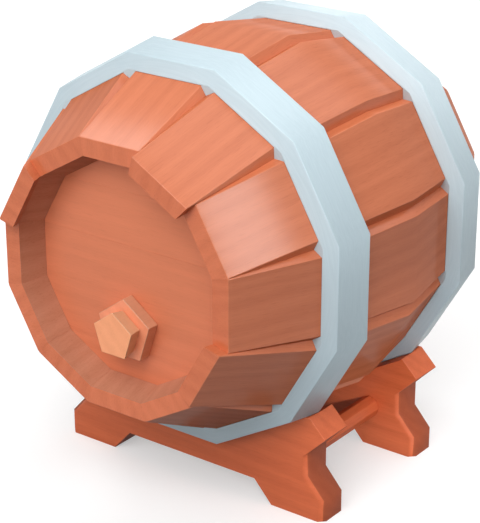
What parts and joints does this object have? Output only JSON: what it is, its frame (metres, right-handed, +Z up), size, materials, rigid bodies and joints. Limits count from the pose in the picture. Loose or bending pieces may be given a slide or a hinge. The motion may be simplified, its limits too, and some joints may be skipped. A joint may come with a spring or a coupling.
{
  "type": "keg on a cradle",
  "caption": "Faceted wooden keg with two broad metal hoops lying on a low wooden cradle, with a stopper in its front head to draw liquid.",
  "frame": {"origin": "on the floor, under the middle of the whole object's box", "axes": "+Z up; the keg lies along Y with its front head, which has the stopper, towards -Y; +X is to the right seen from the front"},
  "size_m": [0.367, 0.4094, 0.4187],
  "materials": {
    "stave_wood": "satin",
    "head_wood": "satin",
    "dowel_wood": "matte",
    "bush_wood": "satin",
    "stopper_wood": "satin",
    "cradle_wood": "satin",
    "hoop_steel": "satin"
  },
  "bodies": {
    "cradle": {"front_bolster": "cradle_wood", "rear_bolster": "cradle_wood", "left_stretcher": "cradle_wood", "right_stretcher": "cradle_wood"},
    "keg": {"stave_01": "stave_wood", "stave_02": "stave_wood", "stave_03": "stave_wood", "stave_04": "stave_wood", "stave_05": "stave_wood", "stave_06": "stave_wood", "stave_07": "stave_wood", "stave_08": "stave_wood", "stave_09": "stave_wood", "stave_10": "stave_wood", "stave_11": "stave_wood", "stave_12": "stave_wood", "front_hoop": "hoop_steel", "rear_hoop": "hoop_steel", "front_head_board_1": "head_wood", "front_head_board_2": "head_wood", "front_head_board_3": "head_wood", "front_head_board_4": "head_wood", "front_head_board_5": "head_wood", "rear_head_board_1": "head_wood", "rear_head_board_2": "head_wood", "rear_head_board_3": "head_wood", "rear_head_board_4": "head_wood", "rear_head_board_5": "head_wood", "front_head_dowels": "dowel_wood", "rear_head_dowels": "dowel_wood", "tap_bush": "bush_wood"},
    "stopper": {"stopper": "stopper_wood"}
  },
  "joints": [
    {"name": "keg_lift", "type": "slide", "parent": "cradle", "child": "keg", "axis": [0, 0, 1], "range_m": [0, 0.06]},
    {"name": "stopper_pull", "type": "slide", "parent": "keg", "child": "stopper", "axis": [0, -1, 0], "range_m": [0, 0.036]}
  ]
}
